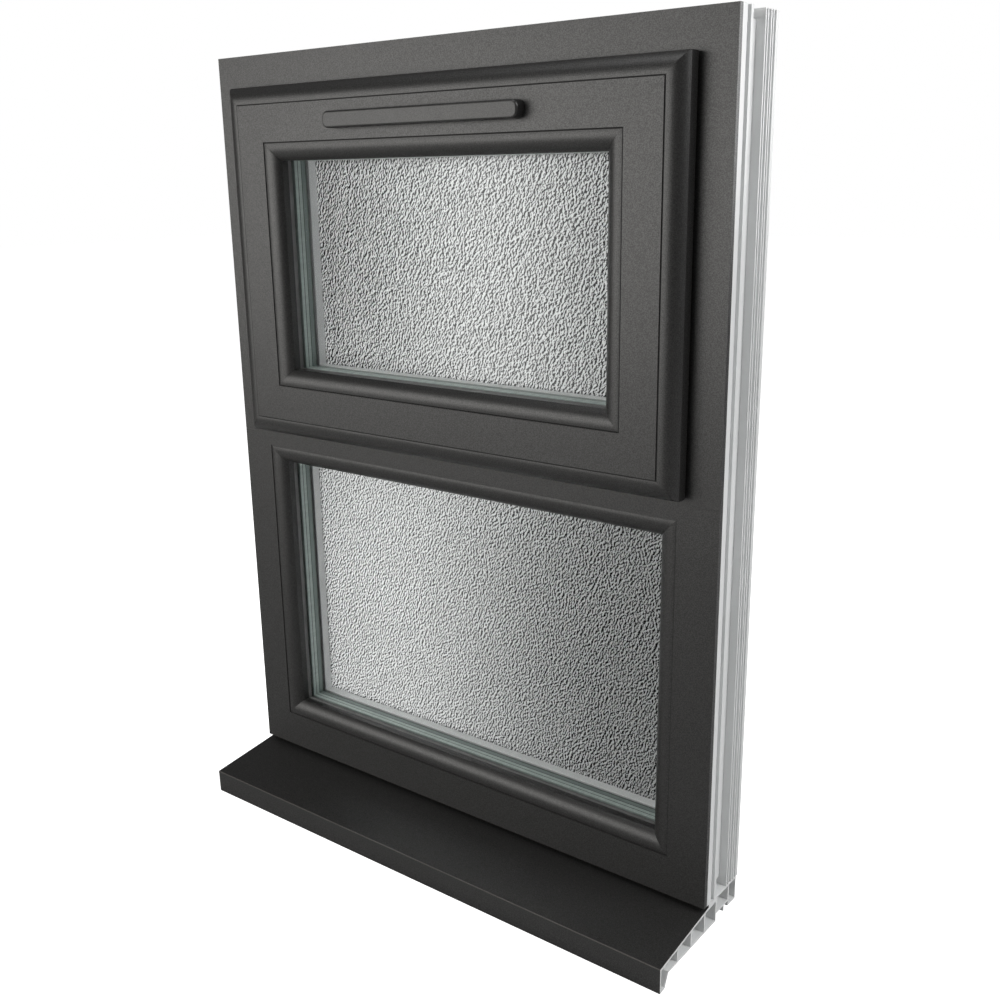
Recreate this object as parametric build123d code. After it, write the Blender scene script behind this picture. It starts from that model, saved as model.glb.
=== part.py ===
# Top-hung window: outer frame with transom, fixed lower light, opening vent above, cill below.
# Millimetres. X runs along the window, Y from outside into the room, Z up.
# The origin is on the flat underside of the cill, in the plane of the frame's outer face.
from build123d import *
import os

# Whole frame
frame_width = 610.0
frame_height = 798.0
cill_rise = 27.5
transom_share = 394.0 / 798.0

# Frame section: run is the distance in from the outer edge, depth is along Y
frame_depth = 70.0
quirk_run = 41.5
quirk_step = 0.8
ovolo_run = 18.5
ovolo_drop = 7.3
leg_thick = 7.7
gasket_thick = 4.8
rebate_high = 16.0
wall = 2.5
overrun = 200.0
hair = 0.3
transom_half = 33.5

# Comb on the outer edge of the frame, read from the outer face inwards
lip_one_end = 13.0
groove_end = 19.3
lip_two_end = 23.3
rib_shares = [0.65, 0.7107, 0.7964, 0.8536]
rib_thick = 1.5
end_lip = 5.0
groove_deep = 3.0
recess_deep = 8.0
rib_deep = 2.0
seam_wide = 0.5
seam_deep = 0.4
seam_over = 1.5

# Bead
bead_gap = 2.0
bead_thick = 9.4
bead_nib = 3.5
bead_nib_inset = 0.5
bead_groove_wide = 4.0
bead_groove_deep = 2.0
bead_groove_inset = 4.0
bead_tongue_gap = 0.2

# Sealed units, three panes each
pane_thick = 4.0
outer_space_share = 16.0 / 26.0
glass_cover = 12.0
spacer_high = 9.0
setting_length = 90.0
setting_inset = 110.0

# Sash section
sash_proud = 23.0
sash_edge_run = 32.6
sash_edge_front = 13.5
sash_edge_back = 2.6
sash_quirk_run = 51.3
sash_flat = 36.85
stay_gap = 9.5
sash_seal_wide = 4.0
sash_seal_inset = 4.0
sash_seal_gap = 0.3
channel_mouth_wide = 10.0
channel_mouth_deep = 0.8
channel_wide = 14.0
channel_deep = 2.6
channel_share = 28.0 / 47.0

# Stop carried in the vent light's rebate
stop_overlap = 2.0
stop_gap = 4.0
stop_seal_wide = 1.5

# Stay
stay_line_share = 25.0 / 47.0
stay_pivot_gap = 16.0
stay_head_gap = 88.0
stay_foot_gap = 7.5
track_wide = 16.0
track_base = 1.2
track_lip_high = 3.0
track_lip_wide = 1.2
track_below = 33.0
track_above = 14.0
shoe_length = 56.0
shoe_thick = 1.5
shoe_gap = 0.2
arm_level = 3.5
arm_thick = 2.0
arm_wide = 13.0
arm_corner = 3.5
pin_radius = 3.0
pin_gap = 0.06
pin_head_radius = 4.4
pin_head_deep = 0.9
pin_head_gap = 0.25
bar_level = 6.0
bar_wide = 22.0
bar_web = 1.6
bar_flange = 2.0
bar_over = 14.0

# Lock
lock_axis_run = 84.0
lock_bar_share = 360.0 / 610.0
lock_bar_gap = 0.2
cam_share = 150.0 / 305.0
lock_travel = 18.85
cam_radius = 3.0
cam_head_radius = 4.2
cam_head_thick = 2.0
cam_reach = 6.0
keep_length = 44.0
keep_base = 1.5
keep_high = 7.0
keep_wall = 4.0
keep_wide = 22.0
keep_start = 5.0
keep_wall_length = 20.0
gearbox_half = 19.5
gearbox_deep = 25.0
gearbox_gap = 0.25
gearbox_top = 88.0

# Handle
handle_base_length = 110.0
handle_base_wide = 13.0
handle_base_thick = 9.0
handle_base_edge = 1.8
hub_radius = 6.5
neck_radius = 5.0
spindle_radius = 3.6
lever_gap = 0.4
lever_start = 5.0
lever_thick = 9.0
lever_length = 105.0
lever_wide = 12.0
lever_edge = 1.8
button_radius = 3.4
button_place = 22.0
button_deep = 6.5
button_bed = 2.8
button_proud = 2.2

# Vent
hood_length = 235.6
hood_high = 16.0
hood_proud = 11.4
hood_round = 6.5
hood_edge = 2.2
hood_wall = 1.8
hood_run = 70.0
louvre_count = 9
louvre_share = 0.8
louvre_fill_share = 0.86
louvre_wide = 4.0
slot_run = 74.2
slot_high = 2.6
slot_length = 88.0
slot_bridge = 12.0
inner_vent_start = 72.6
inner_vent_high = 14.0
inner_vent_deep = 8.5
inner_vent_length = 235.0
inner_vent_round = 2.0
slider_bed = 3.4
slider_lip = 1.2
slider_lip_cover = 1.0
slider_high = 8.0
slider_gap = 0.25
slider_travel = 8.0
slider_rib_gap = 0.4
air_count = 9
air_wide = 8.0
air_high = 4.0
air_pitch = 20.0
knob_length = 14.0
knob_proud = 2.4

# Cill section: depth along Y, height below the underside of the frame
nose_front = 82.4
nose_top = 15.5
nose_low = 41.6
nose_low_back = 0.4
drip_back = 9.1
drip_low = 40.3
nose_back = 67.3
cill_step = 25.6
cill_high_under = 19.2
hook_front = 40.5
hook_wide = 2.0
hook_low = 25.0
rear_chamber = 50.5
rear_low = 24.6
cill_back = 67.0
cill_lip = 9.6
cill_lip_low = 3.5
cill_wall = 1.8
cill_webs = [-50.8, -24.0, 2.5]

os.makedirs("parts", exist_ok=True)

# Values worked out from the sizes above
half_width = frame_width / 2
rib_starts = [frame_depth * share for share in rib_shares]
recess_end = rib_starts[0]
frame_low = cill_rise
frame_high = cill_rise + frame_height
sight_run = quirk_run + ovolo_run
ovolo_end = quirk_step + ovolo_drop
leg_back = ovolo_end + leg_thick
glass_front = leg_back + gasket_thick
floor_run = sight_run - rebate_high
transom_start = sight_run - transom_half
transom_level = cill_rise + frame_height * transom_share
lower_high = transom_level + transom_start
vent_low = transom_level - transom_start
vent_high = frame_high
bead_front = frame_depth - bead_thick
unit_thick = bead_front - bead_gap - glass_front
spaces = unit_thick - 3 * pane_thick
outer_space = spaces * outer_space_share
inner_space = spaces - outer_space
body_run = sight_run + stay_gap
sash_inner_quirk = sash_quirk_run + sash_flat
sash_sight = sash_inner_quirk + ovolo_run
sash_floor = sash_sight - rebate_high
sash_back = frame_depth - sash_proud
channel_centre = sash_back * channel_share
stay_line = sash_back * stay_line_share
stop_front = sash_back + stop_gap
stop_run = body_run + stop_overlap
arc_share = 2 ** 0.5 / 2


def outline_face(path):
    edges = []
    here = path[0]
    for step in path[1:] + path[:1]:
        if len(step) == 2:
            edges.append(Line(here, step))
            here = step
        else:
            edges.append(ThreePointArc(here, step[:2], step[2:]))
            here = step[2:]
    return make_face(edges)


def rounded_over(start, end):
    # Quarter round that leaves its start along the face and meets its end square to it
    run = end[0] - start[0]
    drop = end[1] - start[1]
    middle = (start[0] + run * arc_share, start[1] + drop * (1 - arc_share))
    return (middle[0], middle[1], end[0], end[1])


def rounded_up(start, end):
    # The same quarter round drawn from its lower end
    run = end[0] - start[0]
    rise = end[1] - start[1]
    middle = (start[0] + run * (1 - arc_share), start[1] + rise * arc_share)
    return (middle[0], middle[1], end[0], end[1])


def rectangle_face(u0, u1, y0, y1):
    return outline_face([(u0, y0), (u1, y0), (u1, y1), (u0, y1)])


def block(x0, x1, y0, y1, z0, z1):
    return Pos((x0 + x1) / 2, (y0 + y1) / 2, (z0 + z1) / 2) * Box(x1 - x0, y1 - y0, z1 - z0)


def prism(points):
    return extrude(Plane.XZ * Polygon(*points, align=None), amount=overrun, both=True)


def left_member(section, low, high, reach):
    plane = Plane(origin=(-half_width, 0, low), x_dir=(1, 0, 0), z_dir=(0, 0, 1))
    bar = extrude(plane * section, amount=high - low)
    edge = -half_width
    mask = [(edge, low), (edge + reach, low + reach), (edge + reach, high - reach), (edge, high)]
    return bar & prism(mask)


def top_member(section, high, reach):
    plane = Plane(origin=(-half_width, 0, high), x_dir=(0, 0, -1), z_dir=(1, 0, 0))
    bar = extrude(plane * section, amount=frame_width)
    inner = half_width - reach
    mask = [(-half_width, high), (-inner, high - reach), (inner, high - reach), (half_width, high)]
    return bar & prism(mask)


def bottom_member(section, low, reach):
    plane = Plane(origin=(half_width, 0, low), x_dir=(0, 0, 1), z_dir=(-1, 0, 0))
    bar = extrude(plane * section, amount=frame_width)
    inner = half_width - reach
    mask = [(-half_width, low), (half_width, low), (inner, low + reach), (-inner, low + reach)]
    return bar & prism(mask)


def ring(section, low, high, reach):
    left = left_member(section, low, high, reach)
    members = {"left": left, "right": mirror(left, about=Plane.YZ)}
    members["top"] = top_member(section, high, reach)
    members["bottom"] = bottom_member(section, low, reach)
    return members


def hoop(low, high, outer, inner, y0, y1):
    wide = half_width - outer
    narrow = half_width - inner
    body = block(-wide, wide, y0, y1, low + outer, high - outer)
    return body - block(-narrow, narrow, y0 - overrun, y1 + overrun, low + inner, high - inner)


def slab(low, high, edge, y0, y1):
    wide = half_width - edge
    return block(-wide, wide, y0, y1, low + edge, high - edge)


def one_solid(shape):
    solids = shape.solids()
    return max(solids, key=lambda solid: solid.volume)


# Frame section
comb = [(0, frame_depth), (0, frame_depth - end_lip), (rib_deep, frame_depth - end_lip)]
for start in reversed(rib_starts):
    comb += [(rib_deep, start + rib_thick), (0, start + rib_thick), (0, start)]
    if start != rib_starts[0]:
        comb += [(rib_deep, start)]
comb += [(recess_deep, recess_end), (recess_deep, lip_two_end), (0, lip_two_end)]
comb += [(0, groove_end), (groove_deep, groove_end), (groove_deep, lip_one_end), (0, lip_one_end)]


def rebate(run, sight, shift):
    # Rebate from the back of the leg to the inner face, with the bead's groove in its floor
    back = frame_depth - bead_groove_inset + shift
    front = back - bead_groove_wide
    foot = run - bead_groove_deep
    return [
        (sight, leg_back + shift),
        (run, leg_back + shift),
        (run, front),
        (foot, front),
        (foot, back),
        (run, back),
        (run, frame_depth + shift),
    ]


def face_and_leg(quirk, sight, shift):
    start = (quirk, quirk_step + shift)
    end = (sight, ovolo_end + shift)
    return [(quirk, shift), start, rounded_over(start, end)]


frame_path = [(0, 0)] + face_and_leg(quirk_run, sight_run, 0) + rebate(floor_run, sight_run, 0) + comb
front_low = lip_one_end - wall
front_chamber = rectangle_face(wall, quirk_run - wall, wall, front_low)
main_front = leg_back + wall / 2
main_chamber = rectangle_face(
    recess_deep + wall,
    floor_run - bead_groove_deep - wall,
    main_front,
    recess_end,
)
rear_chamber_face = rectangle_face(
    rib_deep + wall,
    floor_run - bead_groove_deep - wall,
    recess_end + wall,
    frame_depth - wall,
)
frame_section = outline_face(frame_path) - front_chamber - main_chamber - rear_chamber_face

# Transom: two half sections back to back, its ends cut to a point
half_path = [(transom_start, 0)] + face_and_leg(quirk_run, sight_run, 0)
half_path += rebate(floor_run, sight_run, 0) + [(transom_start, frame_depth)]
half_front = rectangle_face(transom_start + wall / 2, quirk_run - wall, wall, front_low)
half_main = rectangle_face(
    transom_start + wall / 2,
    floor_run - bead_groove_deep - wall,
    main_front,
    frame_depth - wall,
)
half_section = outline_face(half_path) - half_front - half_main
tip = half_width - transom_start
shoulder = half_width - sight_run
point_mask = [
    (-tip, transom_level),
    (-shoulder, transom_level + transom_half),
    (shoulder, transom_level + transom_half),
    (tip, transom_level),
    (shoulder, transom_level - transom_half),
    (-shoulder, transom_level - transom_half),
]
upper_plane = Plane(origin=(half_width, 0, vent_low), x_dir=(0, 0, 1), z_dir=(-1, 0, 0))
upper_half = extrude(upper_plane * half_section, amount=frame_width)
lower_half = mirror(upper_half, about=Plane.XY.offset(transom_level))
transom = (upper_half + lower_half) & prism(point_mask)

frame_ring = ring(frame_section, frame_low, frame_high, sight_run)
seam = block(
    -half_width - overrun,
    -tip + seam_over,
    -overrun,
    seam_deep,
    transom_level - seam_wide / 2,
    transom_level + seam_wide / 2,
)
jamb_left = one_solid(frame_ring["left"] - prism(point_mask) - seam)
jamb_right = mirror(jamb_left, about=Plane.YZ)

pieces = {
    "frame_head": frame_ring["top"],
    "frame_jamb_left": jamb_left,
    "frame_jamb_right": jamb_right,
    "frame_bottom_rail": frame_ring["bottom"],
    "transom": transom,
}

# Cill


def cill_point(y, drop):
    return (y, cill_rise - drop)


def cill_slope(y):
    share = (y + nose_front) / (cill_lip + nose_front)
    return nose_top + (cill_lip_low - nose_top) * share


cill_path = [
    cill_point(-nose_front, nose_top),
    cill_point(cill_lip, cill_lip_low),
    cill_point(cill_lip, 0),
    cill_point(cill_back, 0),
    cill_point(cill_back, rear_low),
    cill_point(rear_chamber, rear_low),
    cill_point(rear_chamber, cill_high_under),
    cill_point(hook_front + hook_wide, cill_high_under),
    cill_point(hook_front + hook_wide, hook_low),
    cill_point(hook_front, hook_low),
    cill_point(hook_front, cill_high_under),
    cill_point(cill_step, cill_high_under),
    cill_point(cill_step, cill_rise),
    cill_point(-nose_back, cill_rise),
    cill_point(-nose_front + drip_back, drip_low),
    cill_point(-nose_front + nose_low_back, nose_low),
]
cill_section = outline_face(cill_path)
chamber_edges = cill_webs + [cill_step]
for first, last in zip(chamber_edges[:-1], chamber_edges[1:]):
    left_side = first + cill_wall / 2
    right_side = last - cill_wall
    cill_section -= outline_face([
        cill_point(left_side, cill_rise - cill_wall),
        cill_point(right_side, cill_rise - cill_wall),
        cill_point(right_side, cill_slope(min(right_side, cill_lip)) + cill_wall),
        cill_point(left_side, cill_slope(left_side) + cill_wall),
    ])
nose_web = cill_webs[0] - cill_wall / 2
cill_section -= outline_face([
    cill_point(-nose_front + cill_wall, cill_slope(-nose_front + cill_wall) + cill_wall),
    cill_point(nose_web, cill_slope(nose_web) + cill_wall),
    cill_point(nose_web, cill_rise - cill_wall),
    cill_point(-nose_back - cill_wall / 2, cill_rise - cill_wall),
    cill_point(-nose_front + drip_back - cill_wall, drip_low - cill_wall),
    cill_point(-nose_front + cill_wall, drip_low - cill_wall),
])
cill_section -= outline_face([
    cill_point(cill_step + cill_wall, cill_high_under - cill_wall),
    cill_point(rear_chamber - cill_wall / 2, cill_high_under - cill_wall),
    cill_point(rear_chamber - cill_wall / 2, cill_wall),
    cill_point(cill_step + cill_wall, cill_wall),
])
cill_section -= outline_face([
    cill_point(rear_chamber + cill_wall, rear_low - cill_wall),
    cill_point(cill_back - cill_wall, rear_low - cill_wall),
    cill_point(cill_back - cill_wall, cill_wall),
    cill_point(rear_chamber + cill_wall, cill_wall),
])
cill_plane = Plane(origin=(-half_width, 0, 0), x_dir=(0, 1, 0), z_dir=(1, 0, 0))
pieces["cill"] = extrude(cill_plane * cill_section, amount=frame_width)

# Glazing of a light: three panes, two spacers, a gasket and four beads


def glaze(name, low, high, run, sight, shift):
    edge = sight - glass_cover
    front = glass_front + shift
    middle = front + pane_thick + outer_space
    last = middle + pane_thick + inner_space
    pieces[name + "_outer_pane"] = slab(low, high, edge, front, front + pane_thick)
    pieces[name + "_middle_pane"] = slab(low, high, edge, middle, middle + pane_thick)
    pieces[name + "_obscure_pane"] = slab(low, high, edge, last, last + pane_thick)
    outer = sight - spacer_high
    pieces[name + "_outer_spacer"] = hoop(low, high, outer, sight, front + pane_thick, middle)
    pieces[name + "_inner_spacer"] = hoop(low, high, outer, sight, middle + pane_thick, last)
    pieces[name + "_glazing_gasket"] = hoop(low, high, outer, sight, front - gasket_thick, front)
    nib_front = bead_front + shift - bead_gap
    back = frame_depth + shift
    tongue_back = back - bead_groove_inset - bead_tongue_gap
    tongue_front = back - bead_groove_inset - bead_groove_wide + bead_tongue_gap
    foot = run - bead_groove_deep + bead_tongue_gap
    section = outline_face([
        (run, bead_front + shift),
        (sight - bead_nib, bead_front + shift),
        (sight - bead_nib, nib_front),
        (sight - bead_nib_inset, nib_front),
        (sight, bead_front + shift),
        (sight, bead_front + shift + bead_gap),
        (sight - bead_nib, back),
        (run, back),
        (run, tongue_back),
        (foot, tongue_back),
        (foot, tongue_front),
        (run, tongue_front),
    ])
    beads = ring(section, low, high, sight)
    for side in beads:
        pieces[name + "_bead_" + side] = beads[side]


glaze("lower", frame_low, lower_high, floor_run, sight_run, 0)
glaze("upper", vent_low, vent_high, sash_floor, sash_sight, -sash_proud)


def setting_blocks(name, low, run, sight, shift):
    front = glass_front + shift
    inner = half_width - run - setting_inset
    piece = block(
        inner - setting_length,
        inner,
        front,
        front + unit_thick,
        low + run,
        low + sight - glass_cover,
    )
    pieces[name + "_setting_block_right"] = piece
    pieces[name + "_setting_block_left"] = mirror(piece, about=Plane.YZ)


setting_blocks("lower", frame_low, floor_run, sight_run, 0)

# Sash
sash_front = -sash_proud
edge_start = (sash_edge_run, -sash_edge_front)
edge_end = (sash_quirk_run, quirk_step + sash_front)
channel_half = channel_wide / 2
mouth_half = channel_mouth_wide / 2
mouth_run = body_run + channel_mouth_deep
channel_run = mouth_run + channel_deep
sash_path = [
    edge_start,
    rounded_up(edge_start, edge_end),
    (sash_quirk_run, sash_front),
]
sash_path += face_and_leg(sash_inner_quirk, sash_sight, sash_front)
sash_path += rebate(sash_floor, sash_sight, sash_front)
sash_path += [
    (body_run, sash_back),
    (body_run, channel_centre + mouth_half),
    (mouth_run, channel_centre + mouth_half),
    (mouth_run, channel_centre + channel_half),
    (channel_run, channel_centre + channel_half),
    (channel_run, channel_centre - channel_half),
    (mouth_run, channel_centre - channel_half),
    (mouth_run, channel_centre - mouth_half),
    (body_run, channel_centre - mouth_half),
    (body_run, -sash_edge_back),
    (sash_edge_run, -sash_edge_back),
]
sash_leg_back = leg_back + sash_front
sash_nose = rectangle_face(
    sash_quirk_run + wall,
    sash_inner_quirk - wall,
    sash_front + wall,
    sash_leg_back - wall / 2,
)
sash_main = rectangle_face(
    channel_run + wall,
    sash_floor - bead_groove_deep - wall,
    sash_leg_back + wall / 2,
    sash_back - wall,
)
sash_section = outline_face(sash_path) - sash_nose - sash_main
sash = ring(sash_section, vent_low, vent_high, sash_sight)

seal_start = sash_edge_run + sash_seal_inset
pieces["sash_weather_seal"] = hoop(
    vent_low,
    vent_high,
    seal_start,
    seal_start + sash_seal_wide,
    -sash_edge_back,
    -sash_seal_gap,
)

# Stop ring in the rebate of the vent light
stop_start = floor_run + hair
stop_path = [
    (stop_start, leg_back + hair),
    (sight_run, leg_back + hair),
    (sight_run, stop_front),
    (stop_run, stop_front),
    (stop_run, frame_depth),
    (stop_start, frame_depth),
]
stop_hole = rectangle_face(
    stop_start + wall,
    sight_run - wall,
    leg_back + hair + wall,
    frame_depth - wall,
)
stops = ring(outline_face(stop_path) - stop_hole, vent_low, vent_high, stop_run)
for side in stops:
    pieces["sash_stop_" + side] = stops[side]
pieces["stop_seal"] = hoop(
    vent_low,
    vent_high,
    stop_run - stop_seal_wide,
    stop_run,
    sash_back + hair,
    stop_front,
)

# Stays: made on the left, mirrored for the right
pivot_b = vent_high - stay_head_gap
pivot_c = vent_low + sight_run + stay_foot_gap + track_below
stay_short = (pivot_b - pivot_c - 2 * stay_pivot_gap) / 3
stay_drop = stay_short + stay_pivot_gap
pivot_a = pivot_b - stay_short
pivot_d = pivot_b - stay_drop
wall_x = -half_width + sight_run


def post(level, height, radius, z):
    # Round post along X, from a level above the stop's face
    plane = Plane(origin=(wall_x + level, stay_line, z), x_dir=(0, 1, 0), z_dir=(1, 0, 0))
    return extrude(plane * Circle(radius), amount=height)


def flat(level, height, y0, y1, z0, z1):
    return block(wall_x + level, wall_x + level + height, y0, y1, z0, z1)


def strip(level, height, wide, z0, z1):
    # Flat strip with its corners cut off, running half its width past both pivots
    plane = Plane(origin=(wall_x + level, stay_line, 0), x_dir=(0, 1, 0), z_dir=(1, 0, 0))
    half = wide / 2
    inner = half - arm_corner
    low = z0 - half
    high = z1 + half
    outline = [(-inner, low), (inner, low), (half, low + arm_corner), (half, high - arm_corner)]
    outline += [(inner, high), (-inner, high), (-half, high - arm_corner), (-half, low + arm_corner)]
    return extrude(plane * outline_face(outline), amount=height)


arm_top = arm_level + arm_thick


def low_pin(base, z):
    head = arm_top - pin_head_deep + pin_head_gap / 2
    shank = post(base, head - base, pin_radius, z)
    return shank + post(head, pin_head_deep - pin_head_gap, pin_head_radius, z)


def high_pin(z):
    head = arm_level + pin_head_gap / 2
    head_deep = pin_head_deep - pin_head_gap
    return post(head, head_deep, pin_head_radius, z) + post(head, bar_level - head, pin_radius, z)


def arm(z0, z1):
    body = strip(arm_level, arm_thick, arm_wide, z0, z1)
    hole = pin_radius + pin_gap
    pocket = pin_head_radius + pin_head_gap
    for z in (z0, z1):
        body -= post(arm_level - overrun, 2 * overrun, hole, z)
    body -= post(arm_top - pin_head_deep, overrun, pocket, z0)
    body -= post(arm_level + pin_head_deep - overrun, overrun, pocket, z1)
    return body


track_low = pivot_c - track_below
track_high = pivot_b + track_above
track_half = track_wide / 2
track = flat(0, track_base, stay_line - track_half, stay_line + track_half, track_low, track_high)
for side in (-1, 1):
    outer = stay_line + side * track_half
    inner = outer - side * track_lip_wide
    track += flat(0, track_lip_high, min(outer, inner), max(outer, inner), track_low, track_high)
track += low_pin(track_base, pivot_a)

shoe_half = track_half - track_lip_wide - shoe_gap
shoe_level = track_base + shoe_gap
shoe = flat(
    shoe_level,
    shoe_thick,
    stay_line - shoe_half,
    stay_line + shoe_half,
    pivot_c - shoe_length / 2,
    pivot_c + shoe_length / 2,
)
shoe += low_pin(shoe_level + shoe_thick, pivot_c)

bar_low = pivot_d - bar_over
bar_high = pivot_b + bar_over
bar_half = bar_wide / 2
sash_bar = flat(bar_level, bar_web, stay_line - bar_half, stay_line + bar_half, bar_low, bar_high)
for side in (-1, 1):
    outer = stay_line + side * bar_half
    inner = outer - side * bar_flange
    flange_high = stay_gap - bar_level
    sash_bar += flat(bar_level, flange_high, min(outer, inner), max(outer, inner), bar_low, bar_high)
sash_bar += high_pin(pivot_b) + high_pin(pivot_d)

stay_parts = {
    "stay_track": track,
    "stay_short_arm": arm(pivot_a, pivot_b),
    "stay_long_arm": arm(pivot_c, pivot_d),
    "stay_shoe": shoe,
    "stay_sash_bar": sash_bar,
}
for name in stay_parts:
    pieces[name + "_left"] = stay_parts[name]
    pieces[name + "_right"] = mirror(stay_parts[name], about=Plane.YZ)

# Lock in the channel of the sash's bottom rail, its bar drawn at the locked end of its travel


def rod_up(x, y, run0, run1, radius):
    return Pos(x, y, vent_low + run0) * Cylinder(
        radius, run1 - run0, align=(Align.CENTER, Align.CENTER, Align.MIN)
    )


def rod_in(x, run, y0, y1, radius):
    plane = Plane(origin=(x, y0, vent_low + run), x_dir=(1, 0, 0), z_dir=(0, 1, 0))
    return extrude(plane * Circle(radius), amount=y1 - y0)


lock_bar_length = frame_width * lock_bar_share
cam_spread = half_width * cam_share
bar_start = mouth_run + lock_bar_gap
bar_end = channel_run - lock_bar_gap
lock_half = channel_half - lock_bar_gap
lock_bar = block(
    lock_travel - lock_bar_length / 2,
    lock_travel + lock_bar_length / 2,
    channel_centre - lock_half,
    channel_centre + lock_half,
    vent_low + bar_start,
    vent_low + bar_end,
)
cam_foot = body_run - cam_reach
for x in (lock_travel - cam_spread, lock_travel + cam_spread):
    lock_bar += rod_up(x, channel_centre, cam_foot, bar_end, cam_radius)
    lock_bar += rod_up(x, channel_centre, cam_foot, cam_foot + cam_head_thick, cam_head_radius)
pieces["lock_bar"] = lock_bar

for side, x in (("left", -cam_spread), ("right", cam_spread)):
    start = x + keep_start
    middle = start + keep_wall_length / 2
    wall_back = channel_centre - cam_head_radius - hair
    plate = block(
        middle - keep_length / 2,
        middle + keep_length / 2,
        wall_back - keep_wall,
        wall_back - keep_wall + keep_wide,
        vent_low + sight_run,
        vent_low + sight_run + keep_base,
    )
    plate += block(
        start,
        start + keep_wall_length,
        wall_back - keep_wall,
        wall_back,
        vent_low + sight_run,
        vent_low + sight_run + keep_high,
    )
    pieces["lock_keep_" + side] = plate

gearbox_front = channel_centre - gearbox_deep / 2
gearbox_back = channel_centre + gearbox_deep / 2
gearbox = block(
    -gearbox_half,
    gearbox_half,
    gearbox_front,
    gearbox_back,
    vent_low + channel_run,
    vent_low + gearbox_top,
)
spindle_hole = spindle_radius + pin_gap
gearbox -= rod_in(0, lock_axis_run, gearbox_front - overrun, gearbox_back + overrun, spindle_hole)
pieces["lock_gearbox"] = gearbox

pocket = block(
    -gearbox_half - gearbox_gap,
    gearbox_half + gearbox_gap,
    gearbox_front - gearbox_gap,
    gearbox_back + gearbox_gap,
    vent_low + channel_run,
    vent_low + gearbox_top + gearbox_gap,
)
rail = sash["bottom"] - pocket
rail -= rod_in(0, lock_axis_run, gearbox_back, sash_back + overrun, spindle_radius + hair)

# Handle on the bottom rail, its lever lying along the rail while locked
axis_z = vent_low + lock_axis_run
base_back = sash_back + handle_base_thick
base_plane = Plane(origin=(0, sash_back, axis_z), x_dir=(1, 0, 0), z_dir=(0, 1, 0))
handle_base = extrude(
    base_plane * SlotOverall(handle_base_length, handle_base_wide), amount=handle_base_thick
)
handle_base = chamfer(handle_base.edges().group_by(Axis.Y)[-1], handle_base_edge)
handle_base -= rod_in(0, lock_axis_run, sash_back - overrun, base_back + overrun, neck_radius + pin_gap)
pieces["handle_base"] = handle_base

lever_front = base_back + lever_gap + lever_start
lever_back = lever_front + lever_thick
lever_plane = Plane(origin=(0, lever_front, axis_z), x_dir=(1, 0, 0), z_dir=(0, 1, 0))
lever_shape = Pos((lever_length - lever_wide) / 2, 0) * SlotOverall(lever_length, lever_wide)
lever = extrude(lever_plane * lever_shape, amount=lever_thick)
lever = chamfer(lever.edges().group_by(Axis.Y)[-1], lever_edge)
lever += rod_in(0, lock_axis_run, base_back + lever_gap, lever_front + lever_gap, hub_radius)
lever += rod_in(0, lock_axis_run, sash_back + hair, base_back + lever_gap, neck_radius)
lever += rod_in(0, lock_axis_run, gearbox_front, sash_back + hair, spindle_radius)
button_hole = button_radius + pin_gap
lever -= rod_in(button_place, lock_axis_run, lever_back - button_deep, lever_back + overrun, button_hole)
pieces["handle_lever"] = lever
button_front = lever_back - button_deep + button_bed
button_top = lever_back + button_proud
pieces["handle_button"] = rod_in(button_place, lock_axis_run, button_front, button_top, button_radius)

# Vent in the sash's top rail
hood_z = vent_high - hood_run
hood_plane = Plane(origin=(0, -sash_proud, hood_z), x_dir=(1, 0, 0), z_dir=(0, -1, 0))
hood = extrude(
    hood_plane * RectangleRounded(hood_length, hood_high, hood_round), amount=hood_proud
)
hood = fillet(hood.edges().group_by(Axis.Y)[0], hood_edge)
hollow = RectangleRounded(
    hood_length - 2 * hood_wall, hood_high - 2 * hood_wall, hood_round - hood_wall
)
hood -= extrude(hood_plane * hollow, amount=hood_proud - hood_wall)
louvre_span = hood_length * louvre_share
louvre_pitch = louvre_span / louvre_count
louvre_length = louvre_pitch * louvre_fill_share
louvre_middle = -sash_proud - (hood_proud - hood_wall) / 2
for index in range(louvre_count):
    x = (index - (louvre_count - 1) / 2) * louvre_pitch
    hood -= block(
        x - louvre_length / 2,
        x + louvre_length / 2,
        louvre_middle - louvre_wide / 2,
        louvre_middle + louvre_wide / 2,
        hood_z - hood_high,
        hood_z,
    )
pieces["vent_hood"] = hood

top_rail = sash["top"]
for side in (-1, 1):
    x = side * (slot_length + slot_bridge) / 2
    top_rail -= block(
        x - slot_length / 2,
        x + slot_length / 2,
        -overrun,
        overrun,
        vent_high - slot_run - slot_high,
        vent_high - slot_run,
    )

vent_top = vent_high - inner_vent_start
vent_bottom = vent_top - inner_vent_high
vent_middle = (vent_top + vent_bottom) / 2
vent_back = sash_back + inner_vent_deep
inner_plane = Plane(origin=(0, sash_back, vent_middle), x_dir=(1, 0, 0), z_dir=(0, 1, 0))
inner_vent = extrude(
    inner_plane * RectangleRounded(inner_vent_length, inner_vent_high, inner_vent_round),
    amount=inner_vent_deep,
)
bed_back = vent_back - slider_lip
bed_front = bed_back - slider_bed + slider_lip
bed_half = slider_high / 2
bed_length = inner_vent_length - 2 * inner_vent_round
bed_end = bed_length / 2 - inner_vent_round
inner_vent -= block(
    -bed_end, bed_end, bed_front, bed_back, vent_middle - bed_half, vent_middle + bed_half
)
mouth_high = bed_half - slider_lip_cover
inner_vent -= block(
    -bed_end, bed_end, bed_front, vent_back + overrun, vent_middle - mouth_high, vent_middle + mouth_high
)
slider_end = bed_end - slider_travel - slider_gap
slider = block(
    -bed_end + slider_gap,
    slider_end,
    bed_front + slider_gap,
    bed_back - slider_gap,
    vent_middle - bed_half + slider_gap,
    vent_middle + bed_half - slider_gap,
)
knob_half = mouth_high - slider_rib_gap
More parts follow.
